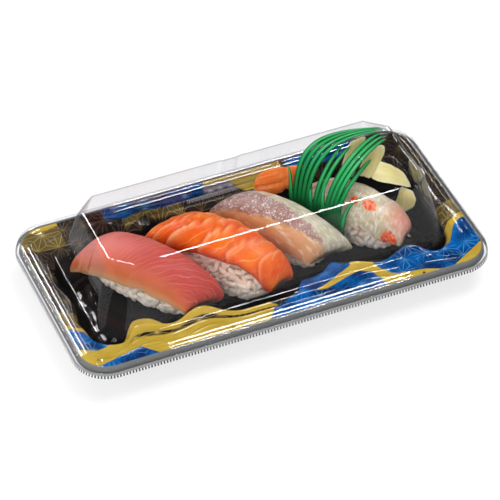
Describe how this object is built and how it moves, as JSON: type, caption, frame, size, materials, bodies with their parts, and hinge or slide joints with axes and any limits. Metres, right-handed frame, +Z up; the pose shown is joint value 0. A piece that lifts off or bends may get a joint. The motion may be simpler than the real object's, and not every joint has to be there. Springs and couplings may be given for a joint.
{
  "type": "takeaway sushi tray",
  "caption": "Lidded plastic sushi tray with pressed rice blocks under fish and shrimp, a cut leaf divider and pickled ginger.",
  "frame": {"origin": "middle of the tray's footprint, on the table", "axes": "+X along the tray's length, away from the tuna; +Y to the back; +Z up"},
  "size_m": [0.22, 0.1134, 0.054],
  "materials": {
    "clear_lid": "polished",
    "printed_tray": "gloss",
    "tuna": "satin",
    "salmon": "satin",
    "bream": "satin",
    "shrimp": "satin",
    "shrimp_tail": "gloss",
    "rice": "satin",
    "leaf_divider": "gloss",
    "ginger": "satin"
  },
  "bodies": {
    "root": {"lid": "clear_lid", "tray": "printed_tray", "tuna_slice": "tuna", "tuna_rice": "rice", "salmon_slice": "salmon", "salmon_rice": "rice", "bream_slice": "bream", "bream_rice": "rice", "shrimp_slice": "shrimp", "shrimp_rice": "rice", "shrimp_tail": "shrimp_tail", "divider": "leaf_divider", "ginger_1": "ginger", "ginger_2": "ginger", "ginger_3": "ginger", "ginger_4": "ginger"}
  },
  "joints": []
}
